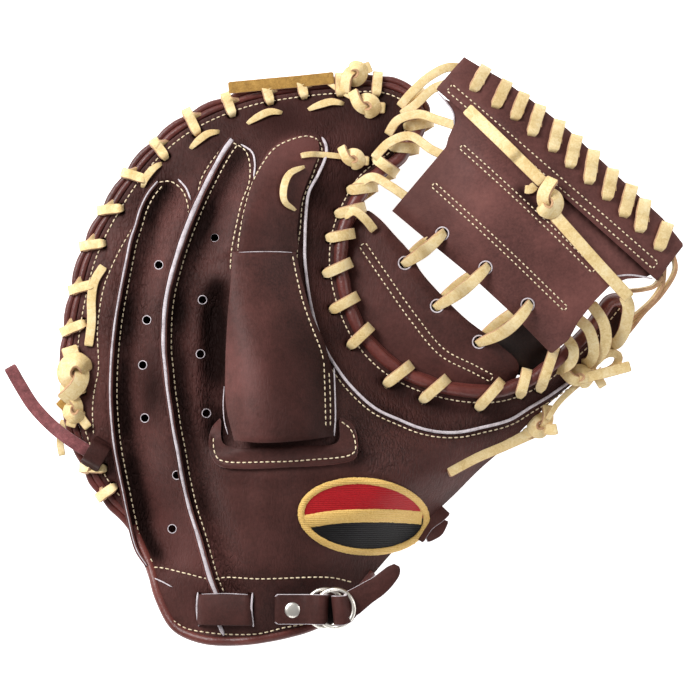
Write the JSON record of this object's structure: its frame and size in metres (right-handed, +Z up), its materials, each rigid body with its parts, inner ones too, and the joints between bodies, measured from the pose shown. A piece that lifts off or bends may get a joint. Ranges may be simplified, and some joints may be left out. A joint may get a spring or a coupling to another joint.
{
  "type": "catcher's mitt",
  "caption": "Padded leather catcher's mitt for the left hand, lying palm down, with laced rim, laced web, open wrist and finger hood.",
  "frame": {"origin": "middle of the bounding box in plan, on the surface that the mitt lies on", "axes": "+Z up out of the back of the mitt, +Y towards the finger tips, +X towards the thumb and web"},
  "size_m": [0.341, 0.2964, 0.1094],
  "materials": {
    "leather": "smooth dark brown oiled cowhide",
    "welt_leather": "reddish brown rolled leather, lightly glossed",
    "cut_edge": "raw chrome-tanned cut edge, pale and matt",
    "lace": "tan rawhide lace, smooth grain side out",
    "suede": "flesh side of the leather, napped",
    "steel": "nickel plated, polished",
    "patch_cloth": "embroidered patch, satin stitch"
  },
  "bodies": {
    "root": {"palm_pad": "leather", "pinky_panel": "leather", "ring_channel": "leather", "hand_panel": "leather", "thumb_panel": "leather", "pinky_fin": "cut_edge", "ring_fin": "cut_edge", "thumb_fin": "cut_edge", "index_pad": "leather", "finger_hood": "leather", "finger_tab": "leather", "patch": "patch_cloth", "rim_welt": "welt_leather", "crotch_welt": "welt_leather", "rim_lace": "lace", "crotch_lace": "lace", "web_panel": "leather", "web_band": "leather", "web_base": "leather", "web_top_lace": "lace", "window_lace_1": "lace", "window_lace_2": "lace", "window_lace_3": "lace", "tack_lace_a": "lace", "tack_lace_b": "lace", "tack_lace_c": "lace", "tack_lace_d": "lace", "index_loop_lace": "lace", "top_knot": "lace", "rim_tie": "lace", "side_tie": "lace", "thumb_knot": "lace", "wrist_tie": "leather", "web_tie": "lace", "wrist_piping": "welt_leather", "wrist_strap": "leather", "rivet_tab": "leather", "rivet": "steel", "ring_a": "steel", "ring_b": "steel", "strap_tail": "leather", "pinky_strap": "suede", "strap_keeper": "leather"}
  },
  "joints": []
}
